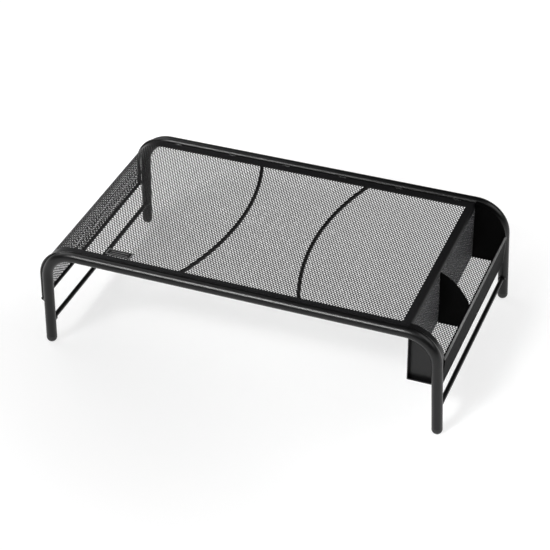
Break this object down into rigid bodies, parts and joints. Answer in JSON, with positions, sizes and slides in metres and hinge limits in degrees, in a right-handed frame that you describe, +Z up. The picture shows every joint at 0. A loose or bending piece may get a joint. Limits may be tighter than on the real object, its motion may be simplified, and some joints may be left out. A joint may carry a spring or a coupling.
{
  "type": "monitor riser stand",
  "caption": "Raised mesh shelf on two bent tube frames, with an open divided pocket along one end.",
  "frame": {"origin": "centre of the footprint on the desk surface", "axes": "+X to the right along the long side, +Y to the back, +Z up"},
  "size_m": [0.5104, 0.292, 0.141],
  "materials": {
    "frame_steel": "satin black powder coat",
    "mesh_steel": "satin black powder coat on expanded mesh",
    "foot_plastic": "moulded black plastic",
    "plate_metal": "dark grey with a raised border"
  },
  "bodies": {
    "root": {"front_tube": "frame_steel", "rear_tube": "frame_steel", "front_edge_strip": "frame_steel", "rear_edge_strip": "frame_steel", "apron_hem_rod": "frame_steel", "apron_front_rod": "frame_steel", "apron_rear_rod": "frame_steel", "curved_rod_left": "frame_steel", "curved_rod_right": "frame_steel", "right_edge_bar": "frame_steel", "left_crossbar": "frame_steel", "right_crossbar": "frame_steel", "pocket_front_panel": "frame_steel", "pocket_rear_panel": "frame_steel", "pocket_lip": "frame_steel", "pocket_divider": "frame_steel", "crossbar_welds": "frame_steel", "apron_welds": "frame_steel", "strip_welds": "frame_steel", "top_mesh": "mesh_steel", "apron_mesh": "mesh_steel", "pocket_inner_wall": "mesh_steel", "pocket_floor_front": "mesh_steel", "pocket_floor_rear": "mesh_steel", "foot_cap_front_left": "foot_plastic", "foot_cap_front_right": "foot_plastic", "foot_cap_rear_left": "foot_plastic", "foot_cap_rear_right": "foot_plastic", "name_plate": "plate_metal"}
  },
  "joints": []
}
